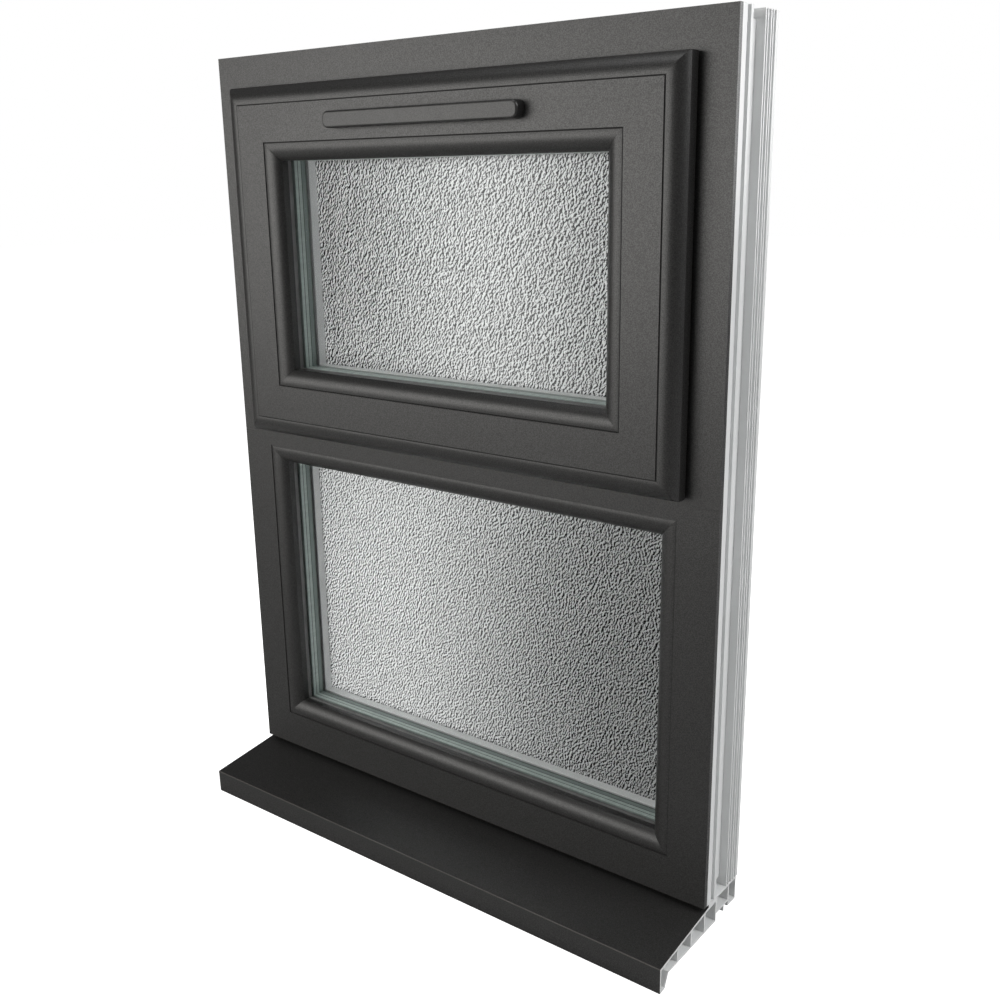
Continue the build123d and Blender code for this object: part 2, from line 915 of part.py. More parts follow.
slider += block(
    -knob_length / 2,
    knob_length / 2,
    bed_front + slider_gap,
    vent_back + knob_proud,
    vent_middle - knob_half,
    vent_middle + knob_half,
)
for index in range(air_count):
    x = (index - (air_count - 1) / 2) * air_pitch
    if index != (air_count - 1) / 2:
        air = block(
            x - air_wide / 2,
            x + air_wide / 2,
            sash_back - overrun,
            vent_back + overrun,
            vent_middle - air_high / 2,
            vent_middle + air_high / 2,
        )
        inner_vent -= air
        slider -= air
pieces["vent_inner_body"] = inner_vent
pieces["vent_slider"] = slider

pieces["sash_top_rail"] = top_rail
pieces["sash_bottom_rail"] = rail
pieces["sash_stile_left"] = sash["left"]
pieces["sash_stile_right"] = sash["right"]

for name in pieces:
    export_step(one_solid(pieces[name]), "parts/" + name + ".step")
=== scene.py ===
import math

import bpy
from mathutils import Matrix, Vector


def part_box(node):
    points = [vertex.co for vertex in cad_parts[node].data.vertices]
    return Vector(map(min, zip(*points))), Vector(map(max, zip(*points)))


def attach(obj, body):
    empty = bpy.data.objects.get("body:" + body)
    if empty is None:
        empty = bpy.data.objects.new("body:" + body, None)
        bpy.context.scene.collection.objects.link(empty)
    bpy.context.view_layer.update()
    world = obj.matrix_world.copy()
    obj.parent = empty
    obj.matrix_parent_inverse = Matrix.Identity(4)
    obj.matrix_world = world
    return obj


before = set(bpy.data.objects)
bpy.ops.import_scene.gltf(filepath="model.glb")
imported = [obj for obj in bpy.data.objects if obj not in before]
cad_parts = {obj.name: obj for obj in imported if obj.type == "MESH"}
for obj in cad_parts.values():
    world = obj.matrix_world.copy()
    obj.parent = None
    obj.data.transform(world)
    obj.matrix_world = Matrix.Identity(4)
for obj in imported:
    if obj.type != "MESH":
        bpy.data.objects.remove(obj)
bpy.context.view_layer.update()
print("frame loaded,", len(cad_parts), "pieces")

# sizes of the window that the finishes follow, in metres
window = {
    "halfWidth": 0.305,
    "low": 0.0275,
    "high": 0.8255,
    "transom": 0.4215,
    "pointInset": 0.0265,
    "ventLow": 0.395,
    "lowerHigh": 0.448,
    "lowerRoomFace": 0.0566,
    "upperRoomFace": 0.0336,
}


class Wire:
    # one socket of a node tree, with the sums a finish needs
    def __init__(self, tree, socket):
        self.tree = tree
        self.socket = socket

    def sum(self, operation, *others, swap=False):
        node = self.tree.nodes.new("ShaderNodeMath")
        node.operation = operation
        values = [self, *others]
        if swap:
            values.reverse()
        for place, value in zip(node.inputs, values):
            plug(self.tree, place, value)
        return Wire(self.tree, node.outputs[0])

    def __add__(self, other):
        return self.sum("ADD", other)

    def __radd__(self, other):
        return self.sum("ADD", other, swap=True)

    def __sub__(self, other):
        return self.sum("SUBTRACT", other)

    def __rsub__(self, other):
        return self.sum("SUBTRACT", other, swap=True)

    def __mul__(self, other):
        return self.sum("MULTIPLY", other)

    def __rmul__(self, other):
        return self.sum("MULTIPLY", other, swap=True)

    def __truediv__(self, other):
        return self.sum("DIVIDE", other)

    def __abs__(self):
        return self.sum("ABSOLUTE")

    def __lt__(self, other):
        return self.sum("LESS_THAN", other)

    def __gt__(self, other):
        return self.sum("GREATER_THAN", other)

    def least(self, other):
        return self.sum("MINIMUM", other)

    def most(self, other):
        return self.sum("MAXIMUM", other)


def plug(tree, place, value):
    if isinstance(value, Wire):
        tree.links.new(value.socket, place)
    elif isinstance(value, (tuple, list)) and len(value) == 3 and place.type == "RGBA":
        place.default_value = (*value, 1.0)
    else:
        place.default_value = value


class Nodes:
    # a tree of nodes: values go to inputs by name, or by number as i0, i1 and so on
    def __init__(self, tree):
        self.tree = tree

    def node(self, kind, settings=None, **values):
        made = self.tree.nodes.new(kind)
        for key, value in (settings or {}).items():
            setattr(made, key, value)
        for key, value in values.items():
            if key[1:].isdigit():
                place = made.inputs[int(key[1:])]
            else:
                place = next(i for i in made.inputs if i.enabled and i.name == key.replace("_", " "))
            plug(self.tree, place, value)
        return {out.name: Wire(self.tree, out) for out in made.outputs if out.enabled}

    def mix(self, factor, first, second):
        return self.node("ShaderNodeMixShader", i0=factor, i1=first, i2=second)["Shader"]


class Finish(Nodes):
    # a material in the object's own coordinates
    def __init__(self, name):
        self.material = bpy.data.materials.new(name)
        self.material.use_nodes = True
        super().__init__(self.material.node_tree)
        self.tree.nodes.clear()
        self.where = self.node("ShaderNodeTexCoord")["Object"]
        parts = self.node("ShaderNodeSeparateXYZ", Vector=self.where)
        self.x = parts["X"]
        self.y = parts["Y"]
        self.z = parts["Z"]

    def noise(self, scale, detail=2.0, rough=0.5, squeeze=(1, 1, 1), turn=0.0, shift=(0, 0, 0)):
        spot = self.where
        if squeeze != (1, 1, 1) or shift != (0, 0, 0):
            lean = (0.0, math.radians(turn), 0.0)
            turned = self.node("ShaderNodeMapping", Vector=self.where, Rotation=lean, Location=shift)
            spot = self.node("ShaderNodeMapping", Vector=turned["Vector"], Scale=squeeze)["Vector"]
        made = self.node("ShaderNodeTexNoise", Vector=spot, Scale=scale, Detail=detail, Roughness=rough)
        return made["Fac"]

    def span(self, value, low, high, start=0.0, end=1.0):
        made = self.node(
            "ShaderNodeMapRange",
            {"clamp": True, "interpolation_type": "SMOOTHSTEP"},
            i0=value, i1=low, i2=high, i3=start, i4=end,
        )
        return made["Result"]

    def blend(self, factor, first, second):
        return self.node("ShaderNodeMix", {"data_type": "RGBA"}, Factor=factor, A=first, B=second)["Result"]

    def mottle(self, noise, first, second, tones=(0.3, 0.7)):
        return self.blend(self.span(noise, *tones), first, second)

    def bump(self, height, distance, strength):
        return self.node("ShaderNodeBump", Height=height, Distance=distance, Strength=strength)["Normal"]

    def principled(self, **values):
        return self.node("ShaderNodeBsdfPrincipled", **values)["BSDF"]

    def clear(self, colour):
        return self.node("ShaderNodeBsdfTransparent", Color=colour)["BSDF"]

    def gloss(self, colour, rough):
        return self.node("ShaderNodeBsdfGlossy", Color=colour, Roughness=rough)["BSDF"]

    def done(self, shader):
        last = self.tree.nodes.new("ShaderNodeOutputMaterial")
        self.tree.links.new(shader.socket, last.inputs["Surface"])
        return self.material


# profiles: dark foil with a fine sand texture outside, white plastic at the edges and inside
foil = {
    "colour": (0.0125, 0.0122, 0.0118),
    "paler": (0.019, 0.0186, 0.018),
    "white": (0.80, 0.81, 0.81),
    "whiteShade": (0.775, 0.785, 0.785),
    # dark line colour for the real weld joints, also used as painted shade in the quirk grooves
    "weld": (0.003, 0.003, 0.003),
    # pale colour of the painted highlight along the cill's front edge
    "edgeHighlight": (0.085, 0.079, 0.072),
    "sandScale": 1150.0,
    "sandDetail": 2.0,
    "sandRough": 0.6,
    "sandShift": (0, 0.00065, 0),
    "sandTones": (0.35, 0.7),
    "cloudScale": 14.0,
    "brushScale": 420.0,
    "brushLong": (1.0, 1.0, 0.35),
    "rough": 0.30,
    "darkRough": 0.07,
    "brushRough": 0.06,
    "seamRough": 0.5,
    "sandHeight": 0.8,
    "brushHeight": 0.2,
    "whiteRelief": 0.12,
    "deep": 0.00024,
    "relief": 0.8,
    "coat": 0.55,
    "coatTones": (0.36, 0.66),
    "coatRough": 0.36,
    "wrap": 0.0053,
    "legBack": 0.0164,
    "legInset": 0.02,
    "sashWrap": -0.0024,
    "mitre": 0.00022,
    "quirk": 0.0415,
    "quirkBehind": 0.0004,
    "sashQuirks": (0.0513, 0.08815),
    # width of the painted shade line in each quirk, then the strengths of the weld joints and of the
    # painted quirk shade on frame and sash
    "quirkShadeWidth": 0.0013,
    "weldShare": 0.3,
    "frameShadeShare": 0.4,
    "sashShadeShare": 0.85,
}


def sandNoise(finish, shift):
    return finish.noise(foil["sandScale"], foil["sandDetail"], foil["sandRough"], shift=shift)


def foilSurface(finish, dark, jointAndShade=0.0, edgeHighlight=0.0):
    # dark is 1 where the foil is; the second mask is 1 along the real weld joints and along the quirks,
    # where it paints shade into the groove; the third is 1 on the cill's front edge, where it paints a
    # highlight
    sand = sandNoise(finish, foil["sandShift"])
    cloud = finish.noise(foil["cloudScale"])
    brush = finish.noise(foil["brushScale"], squeeze=foil["brushLong"])
    tone = finish.mottle(sand, foil["colour"], foil["paler"], foil["sandTones"])
    pale = finish.mottle(cloud, foil["whiteShade"], foil["white"])
    # blend in the dark line colour: real weld joints, and painted shade along the quirks
    jointedAndShaded = finish.blend(jointAndShade, tone, foil["weld"])
    highlighted = finish.blend(edgeHighlight, jointedAndShaded, foil["edgeHighlight"])
    colour = finish.blend(dark, pale, highlighted)
    rough = foil["rough"] + foil["darkRough"] * dark + foil["brushRough"] * brush + foil["seamRough"] * jointAndShade
    grain = sand * foil["sandHeight"] + brush * foil["brushHeight"]
    height = grain * (foil["whiteRelief"] + (1.0 - foil["whiteRelief"]) * dark)
    coat = finish.span(sand, *foil["coatTones"]) * (foil["coat"] * dark) * (1 - jointAndShade)
    return finish.principled(
        Base_Color=colour,
        Roughness=rough,
        Normal=finish.bump(height, foil["deep"], foil["relief"]),
        Coat_Weight=coat,
        Coat_Roughness=foil["coatRough"],
    )


def thinLine(past):
    # 1 on the narrow strip that starts where past is 0; this strip carries the painted shade along a quirk
    return (past > 0.0) * (past < foil["quirkShadeWidth"])


def foilFrame(name):
    finish = Finish(name)
    side = window["halfWidth"] - abs(finish.x)
    fromHead = window["high"] - finish.z
    fromFoot = finish.z - window["low"]
    inset = side.least(fromHead).least(fromFoot)
    leg = (finish.y < foil["legBack"]) * (inset > foil["legInset"])
    dark = (finish.y < foil["wrap"]).most(leg)
    # weld lines of the mitred corners, and of the pointed transom ends
    corners = abs(side - fromHead).least(abs(side - fromFoot))
    points = abs((side - window["pointInset"]) - abs(finish.z - window["transom"]))
    weld = corners.least(points) < foil["mitre"]
    # painted shade along the quirk round the lower light
    light = side.least(window["lowerHigh"] - finish.z).least(fromFoot)
    line = thinLine(light - foil["quirk"]) * (finish.y > foil["quirkBehind"])
    # joins the real weld lines with the painted quirk shade
    weldsAndShade = (weld * foil["weldShare"]).most(line * foil["frameShadeShare"])
    return finish.done(foilSurface(finish, dark, weldsAndShade))


def foilSash(name):
    finish = Finish(name)
    side = window["halfWidth"] - abs(finish.x)
    fromHead = window["high"] - finish.z
    fromFoot = finish.z - window["ventLow"]
    inset = side.least(fromHead).least(fromFoot)
    dark = finish.y < foil["sashWrap"]
    weld = abs(side - fromHead).least(abs(side - fromFoot)) < foil["mitre"]
    # painted shade along the sash's outer and inner quirks, drawn in the dark line colour
    outer, inner = foil["sashQuirks"]
    lines = thinLine(outer - inset).most(thinLine(inset - inner))
    weldsAndShade = (weld * foil["weldShare"]).most(lines * foil["sashShadeShare"])
    return finish.done(foilSurface(finish, dark, weldsAndShade))


# cill: foil on the sloping top and the nose, with a painted highlight along the nose's upper edge
cill = {
    "fall": 0.1304,
    "topLevel": 0.02275,
    "skin": 0.0009,
    "nose": -0.0815,
    "drip": -0.0125,
    "foilBack": 0.0125,
    "endSkin": 0.0002,
    "highlightFront": -0.0817,
    "highlightAbove": 0.0112,
}


def foilCill(name):
    finish = Finish(name)
    slope = finish.y * cill["fall"] + cill["topLevel"]
    top = finish.z > slope - cill["skin"]
    nose = (finish.y < cill["nose"]).most(finish.z < cill["drip"])
    shell = top.most(nose) * (finish.y < cill["foilBack"])
    ends = abs(finish.x) < window["halfWidth"] - cill["endSkin"]
    # painted highlight on the nose's upper front edge
    edgeHighlight = (finish.y < cill["highlightFront"]) * (finish.z > cill["highlightAbove"])
    return finish.done(foilSurface(finish, shell * ends, edgeHighlight=edgeHighlight))


# ventilator hood: moulded plastic in the foil's colour
hood = {
    "low": (0.012, 0.0118, 0.0115),
    "high": (0.017, 0.0166, 0.016),
    "sandShift": (0, 0.00035, 0),
    "cloudScale": 40.0,
    "rough": 0.36,
    "sandRough": 0.08,
    "deep": 0.0002,
    "relief": 0.6,
    "coat": 0.5,
}


def hoodPlastic(name):
    finish = Finish(name)
    sand = sandNoise(finish, hood["sandShift"])
    cloud = finish.noise(hood["cloudScale"])
    shader = finish.principled(
        Base_Color=finish.mottle(cloud, hood["low"], hood["high"]),
        Roughness=hood["rough"] + hood["sandRough"] * sand,
        Normal=finish.bump(sand, hood["deep"], hood["relief"]),
        Coat_Weight=hood["coat"] * finish.span(sand, *foil["coatTones"]),
        Coat_Roughness=foil["coatRough"],
    )
    return finish.done(shader)


# plain materials: a clouded colour with a fine grain in its gloss and relief
whitePlastic = {
    "low": foil["whiteShade"],
    "high": foil["white"],
    "cloudScale": 18.0,
    "tones": (0.3, 0.7),
    "fineScale": 900.0,
    "fineRough": 0.6,
    "rough": 0.26,
    "roughVary": 0.08,
    "deep": 0.0001,
    "relief": 0.15,
    "coat": 0.0,
}
sealRubber = {
    "low": (0.010, 0.010, 0.010),
    "high": (0.020, 0.020, 0.020),
    "cloudScale": 60.0,
    "tones": (0.35, 0.75),
    "fineScale": 1800.0,
    "fineRough": 0.6,
    "rough": 0.55,
    "roughVary": 0.2,
    "deep": 0.0001,
    "relief": 0.3,
    "coat": 0.0,
}
gasketRubber = {
    **sealRubber,
    "low": (0.15, 0.15, 0.148),
    "high": (0.20, 0.20, 0.197),
}
handlePaint = {
    "low": (0.76, 0.77, 0.76),
    "high": (0.82, 0.82, 0.81),
    "cloudScale": 30.0,
    "tones": (0.3, 0.7),
    "fineScale": 520.0,
    "fineRough": 0.5,
    "rough": 0.22,
    "roughVary": 0.06,
    "deep": 0.00008,
    "relief": 0.2,
    "coat": 0.3,
}


def plainFinish(name, row):
    finish = Finish(name)
    cloud = finish.noise(row["cloudScale"])
    fine = finish.noise(row["fineScale"], rough=row["fineRough"])
    shader = finish.principled(
        Base_Color=finish.mottle(cloud, row["low"], row["high"], row["tones"]),
        Roughness=row["rough"] + row["roughVary"] * fine,
        Normal=finish.bump(fine, row["deep"], row["relief"]),
        Coat_Weight=row["coat"],
    )
    return finish.done(shader)


# clear panes: almost all seen through, with a faint uneven reflection
clearPane = {
    "seen": (0.985, 0.988, 0.987),
    "gloss": (0.95, 0.97, 0.97),
    "glossRough": 0.015,
    "bend": 1.42,
    "smearScale": 9.0,
    "share": 0.003,
    "smearShare": 0.003,
}


def clearGlass(name):
    finish = Finish(name)
    seen = finish.clear(clearPane["seen"])
    gloss = finish.gloss(clearPane["gloss"], clearPane["glossRough"])
    uneven = clearPane["share"] + clearPane["smearShare"] * finish.noise(clearPane["smearScale"])
    share = finish.node("ShaderNodeFresnel", IOR=clearPane["bend"])["Fac"] * uneven
    return finish.done(finish.mix(share, seen, gloss))


# obscure pane: small raised pebbles, each with a painted lit flank and a painted shaded flank
stipple = {
    "cell": 420.0,
    "detail": 1.0,
    "rough": 0.4,
    "lean": -24.0,
    "long": (1.0, 1.0, 0.82),
    "deep": 0.0024,
    "relief": 1.0,
    "lightSlant": (0.00058, 0.0, 0.0),
    "flankShading": (-0.040, 0.038),
    "shadedFlankGlow": (0.008, 0.008, 0.008),
    "litFlankGlow": (1.0, 1.0, 1.0),
    "glowShare": 0.88,
    "bent": (0.97, 0.97, 0.97),
    "bentRough": 0.06,
    "bentBy": 1.4,
    "shadedFlankGloss": (0.25, 0.252, 0.252),
    "litFlankGloss": (0.60, 0.602, 0.602),
    "glossRough": 0.16,
    "glossShare": 0.08,
    "roomSeen": (0.975, 0.978, 0.977),
    "roomShine": (0.95, 0.97, 0.97),
    "roomRough": 0.03,
    "roomBend": 1.45,
    "roomShare": 0.4,
}


def pebbleNoise(finish, shift):
    return finish.noise(
        stipple["cell"], stipple["detail"], stipple["rough"], stipple["long"], stipple["lean"], shift
    )


def stippledGlass(name, roomFace):
    # the outer face carries the pebbles and spreads the light, the room face is smooth
    finish = Finish(name)
    pebble = pebbleNoise(finish, (0, 0, 0))
    beside = pebbleNoise(finish, stipple["lightSlant"])
    # the height difference to a point beside paints a lit side and a shaded side on each pebble, in the
    # glow and in the gloss
    tone = finish.span(pebble - beside, *stipple["flankShading"])
    normal = finish.bump(pebble, stipple["deep"], stipple["relief"])
    shaded, lit = [
        finish.node("ShaderNodeBsdfTranslucent", Color=stipple[key], Normal=normal)["BSDF"]
        for key in ("shadedFlankGlow", "litFlankGlow")
    ]
    spread = finish.mix(tone, shaded, lit)
    bent = finish.node(
        "ShaderNodeBsdfRefraction",
        Color=stipple["bent"], Roughness=stipple["bentRough"], IOR=stipple["bentBy"], Normal=normal,
    )["BSDF"]
    gloss = finish.principled(
        Base_Color=finish.blend(tone, stipple["shadedFlankGloss"], stipple["litFlankGloss"]),
        Metallic=1.0,
        Roughness=stipple["glossRough"],
        Normal=normal,
    )
    through = finish.mix(stipple["glowShare"], bent, spread)
    pebbled = finish.mix(stipple["glossShare"], through, gloss)
    seen = finish.clear(stipple["roomSeen"])
    shine = finish.gloss(stipple["roomShine"], stipple["roomRough"])
    share = finish.node("ShaderNodeFresnel", IOR=stipple["roomBend"])["Fac"] * stipple["roomShare"]
    smooth = finish.mix(share, seen, shine)
    return finish.done(finish.mix(finish.y > roomFace, pebbled, smooth))


# spacer bars between the panes: the outer one is a ribbed green bar, the inner one plain white
spacer = {
    "pale": (0.46, 0.54, 0.51),
    "paler": (0.53, 0.61, 0.58),
    "deep": (0.25, 0.305, 0.285),
    "line": (0.035, 0.045, 0.042),
    "ribs": (0.27, 0.58, 0.97),
    "ribHalf": 0.024,
    "deepFrom": 0.58,
    "rough": 0.3,
    "metal": 0.2,
    "white": (0.93, 0.94, 0.94),
    "whiteShade": (0.90, 0.91, 0.91),
    "whiteRough": 0.35,
    "roughVary": 0.1,
    "streakScale": 260.0,
    "streakLong": (1.0, 0.2, 1.0),
}


def spacerStreak(finish):
    return finish.noise(spacer["streakScale"], squeeze=spacer["streakLong"])


def ribbedSpacer(name, node):
    finish = Finish(name)
    low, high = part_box(node)
    share = (finish.y - low.y) / (high.y - low.y)
    streak = spacerStreak(finish)
    front = finish.mottle(streak, spacer["pale"], spacer["paler"])
    bar = finish.blend(share > spacer["deepFrom"], front, spacer["deep"])
    first, second, third = [abs(share - rib) for rib in spacer["ribs"]]
    line = first.least(second).least(third) < spacer["ribHalf"]
    colour = finish.blend(line, bar, spacer["line"])
    rough = spacer["rough"] + spacer["roughVary"] * streak
    return finish.done(finish.principled(Base_Color=colour, Roughness=rough, Metallic=spacer["metal"]))


def whiteSpacer(name):
    finish = Finish(name)
    streak = spacerStreak(finish)
    colour = finish.mottle(streak, spacer["whiteShade"], spacer["white"])
    rough = spacer["whiteRough"] + spacer["roughVary"] * streak
    return finish.done(finish.principled(Base_Color=colour, Roughness=rough))


# stays, lock and button: brushed or plain metal
steel = {
    "lineScale": 900.0,
    "lineDetail": 3.0,
    "lineRough": 0.6,
    "stainScale": 45.0,
    "shade": 0.8,
    "rough": 0.24,
    "lineVary": 0.16,
    "stainVary": 0.08,
    "deep": 0.00005,
    "relief": 0.3,
}


def brushedSteel(name, tint, squeeze):
    finish = Finish(name)
    lines = finish.noise(steel["lineScale"], steel["lineDetail"], steel["lineRough"], squeeze)
    stain = finish.noise(steel["stainScale"])
    shade = tuple(steel["shade"] * part for part in tint)
    shader = finish.principled(
        Base_Color=finish.mottle(lines, shade, tint),
        Metallic=1.0,
        Roughness=steel["rough"] + steel["lineVary"] * lines + steel["stainVary"] * stain,
        Normal=finish.bump(lines, steel["deep"], steel["relief"]),
    )
    return finish.done(shader)


# setting blocks under the panes
block = {
    "low": (0.05, 0.12, 0.28),
    "high": (0.07, 0.15, 0.33),
    "fineScale": 700.0,
    "rough": 0.45,
    "roughVary": 0.1,
}


def blockPlastic(name):
    finish = Finish(name)
    fine = finish.noise(block["fineScale"])
    colour = finish.mottle(fine, block["low"], block["high"])
    rough = block["rough"] + block["roughVary"] * fine
    return finish.done(finish.principled(Base_Color=colour, Roughness=rough))


finishes = {
    "frame": foilFrame("frameFoil"),
    "sash": foilSash("sashFoil"),
    "cill": foilCill("cillFoil"),
    "hood": hoodPlastic("hoodPlastic"),
    "white": plainFinish("whitePlastic", whitePlastic),
    "clear": clearGlass("clearGlass"),
    "lowerStipple": stippledGlass("lowerStipple", window["lowerRoomFace"]),
    "upperStipple": stippledGlass("upperStipple", window["upperRoomFace"]),
    "lowerSpacer": ribbedSpacer("lowerSpacer", "lower_outer_spacer"),
    "upperSpacer": ribbedSpacer("upperSpacer", "upper_outer_spacer"),
    "innerSpacer": whiteSpacer("innerSpacer"),
    "rubber": plainFinish("sealRubber", sealRubber),
    "gasket": plainFinish("gasketRubber", gasketRubber),
    "staySteel": brushedSteel("staySteel", (0.60, 0.60, 0.59), (1.0, 1.0, 0.03)),
    "lockSteel": brushedSteel("lockSteel", (0.62, 0.60, 0.55), (0.03, 1.0, 1.0)),
    "paint": plainFinish("handlePaint", handlePaint),
    "chrome": brushedSteel("buttonChrome", (0.72, 0.72, 0.72), (1.0, 1.0, 1.0)),
    "block": blockPlastic("blockPlastic"),
}
print("finishes made:", len(finishes))

# which piece takes which finish: by its whole name, then its ending, then its start
wholeNames = {
    "frame_head": "frame",
    "frame_jamb_left": "frame",
    "frame_jamb_right": "frame",
    "frame_bottom_rail": "frame",
    "transom": "frame",
    "sash_top_rail": "sash",
    "sash_bottom_rail": "sash",
    "sash_stile_left": "sash",
    "sash_stile_right": "sash",
    "cill": "cill",
    "vent_hood": "hood",
    "lower_obscure_pane": "lowerStipple",
    "upper_obscure_pane": "upperStipple",
    "lower_outer_spacer": "lowerSpacer",
    "upper_outer_spacer": "upperSpacer",
    "handle_base": "paint",
    "handle_lever": "paint",
    "handle_button": "chrome",
}
endings = {
    "outer_pane": "clear",
    "middle_pane": "clear",
    "inner_spacer": "innerSpacer",
    "gasket": "gasket",
    "seal": "rubber",
}
starts = {
    "stay_": "staySteel",
    "lock_": "lockSteel",
}


def finishFor(node):
    if node in wholeNames:
        return wholeNames[node]
    for ending, finish in endings.items():
        if node.endswith(ending):
            return finish
    for start, finish in starts.items():
        if node.startswith(start):
            return finish
    return "block" if "setting_block" in node else "white"


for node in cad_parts:
    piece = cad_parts[node]
    piece.data.materials.clear()
    piece.data.materials.append(finishes[finishFor(node)])
print("finishes on the pieces")

# screws: nodes set a head with a crossed recess on every point, along the point's own direction
screw = {
    "Head Radius": 0.0029,
    "Top Radius": 0.0025,
    "Head Height": 0.0006,
    "Slot Width": 0.0007,
    "Slot Length": 0.0036,
    "Slot Depth": 0.0002,
}
screwSides = 24
screwSeed = 7


def screwTree(material):
    tree = bpy.data.node_groups.new("screwHeads", "GeometryNodeTree")
    tree.interface.new_socket("Places", in_out="INPUT", socket_type="NodeSocketGeometry")
    for name in screw:
        tree.interface.new_socket(name, in_out="INPUT", socket_type="NodeSocketFloat")
    tree.interface.new_socket("Heads", in_out="OUTPUT", socket_type="NodeSocketGeometry")
    made = Nodes(tree)
    given = made.node("NodeGroupInput")
    tall = given["Head Height"]
    head = made.node(
        "GeometryNodeMeshCone",
        Vertices=screwSides, Radius_Top=given["Top Radius"], Radius_Bottom=given["Head Radius"], Depth=tall,
    )["Mesh"]
    lift = made.node("ShaderNodeCombineXYZ", Z=tall)["Vector"]
    thick = 2 * given["Slot Depth"]
    bars = []
    for wide, deep in (("Slot Length", "Slot Width"), ("Slot Width", "Slot Length")):
        size = made.node("ShaderNodeCombineXYZ", X=given[wide], Y=given[deep], Z=thick)["Vector"]
        cube = made.node("GeometryNodeMeshCube", Size=size)["Mesh"]
        bars.append(made.node("GeometryNodeTransform", Geometry=cube, Translation=lift)["Geometry"])
    cut = tree.nodes.new("GeometryNodeMeshBoolean")
    cut.operation = "DIFFERENCE"
    plug(tree, cut.inputs["Mesh 1"], head)
    for bar in bars:
        plug(tree, cut.inputs["Mesh 2"], bar)
    outward = made.node("GeometryNodeInputNamedAttribute", {"data_type": "FLOAT_VECTOR"}, Name="outward")
    stand = made.node("FunctionNodeAlignRotationToVector", {"axis": "Z"}, Vector=outward["Attribute"])
    chance = made.node("FunctionNodeRandomValue", {"data_type": "FLOAT"}, Max=math.pi, Seed=screwSeed)
    angles = made.node("ShaderNodeCombineXYZ", Z=chance["Value"])["Vector"]
    spin = made.node("FunctionNodeEulerToRotation", Euler=angles)
    turned = made.node(
        "FunctionNodeRotateRotation", {"rotation_space": "LOCAL"},
        Rotation=stand["Rotation"], Rotate_By=spin["Rotation"],
    )
    heads = made.node(
        "GeometryNodeInstanceOnPoints",
        Points=given["Places"], Instance=Wire(tree, cut.outputs["Mesh"]), Rotation=turned["Rotation"],
    )["Instances"]
    real = made.node("GeometryNodeRealizeInstances", Geometry=heads)["Geometry"]
    coated = made.node("GeometryNodeSetMaterial", Geometry=real, Material=material)["Geometry"]
    made.node("NodeGroupOutput", Heads=coated)
    return tree


def setScrews(name, tree, places, body):
    # places is a list of points with the direction each screw faces
    mesh = bpy.data.meshes.new(name + "Points")
    mesh.from_pydata([place for place, outward in places], [], [])
    outwards = mesh.attributes.new("outward", "FLOAT_VECTOR", "POINT")
    for spot, (place, outward) in zip(outwards.data, places):
        spot.vector = outward
    carrier = bpy.data.objects.new(name, mesh)
    bpy.context.scene.collection.objects.link(carrier)
    modifier = carrier.modifiers.new("screws", "NODES")
    modifier.node_group = tree
    for item in tree.interface.items_tree:
        if item.in_out == "INPUT" and item.name in screw:
            modifier[item.identifier] = screw[item.name]
    bpy.context.view_layer.update()
    evaluated = carrier.evaluated_get(bpy.context.evaluated_depsgraph_get())
    carrier.data = bpy.data.meshes.new_from_object(evaluated)
    carrier.modifiers.clear()
    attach(carrier, body)


def between(low, high, share):
    return low + (high - low) * share


# where the screws sit, as shares of the piece they hold
stayHole = {
    "base": 0.0012,
    "barFace": 0.0060,
    "trackShares": (0.48, 0.84, 0.965),
    "barShares": (0.31, 0.5, 0.69),
}
keepHole = {
    "base": 0.0015,
    "shares": (0.13, 0.87),
    "deepShare": 0.66,
}
handleHole = {
    "shares": (0.085, 0.915),
}

frameScrews = []
sashScrews = []
for side, towards in (("left", 1.0), ("right", -1.0)):
    low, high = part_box("stay_track_" + side)
    wallSide = low.x if towards > 0 else high.x
    middle = between(low.y, high.y, 0.5)
    for share in stayHole["trackShares"]:
        place = (wallSide + towards * stayHole["base"], middle, between(low.z, high.z, share))
        frameScrews.append((place, (towards, 0.0, 0.0)))
    low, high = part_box("stay_sash_bar_" + side)
    keepLow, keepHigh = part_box("lock_keep_" + side)
    for share in keepHole["shares"]:
        x = between(keepLow.x, keepHigh.x, share)
        y = between(keepLow.y, keepHigh.y, keepHole["deepShare"])
        frameScrews.append(((x, y, keepLow.z + keepHole["base"]), (0.0, 0.0, 1.0)))
    for share in stayHole["barShares"]:
        face = wallSide + towards * stayHole["barFace"]
        sashScrews.append(((face, middle, between(low.z, high.z, share)), (-towards, 0.0, 0.0)))
low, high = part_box("handle_base")
for share in handleHole["shares"]:
    place = (between(low.x, high.x, share), high.y, between(low.z, high.z, 0.5))
    sashScrews.append((place, (0.0, 1.0, 0.0)))
heads = screwTree(finishes["staySteel"])
setScrews("frameScrews", heads, frameScrews, "frame")
setScrews("sashScrews", heads, sashScrews, "sash")
print("screws set:", len(frameScrews) + len(sashScrews))

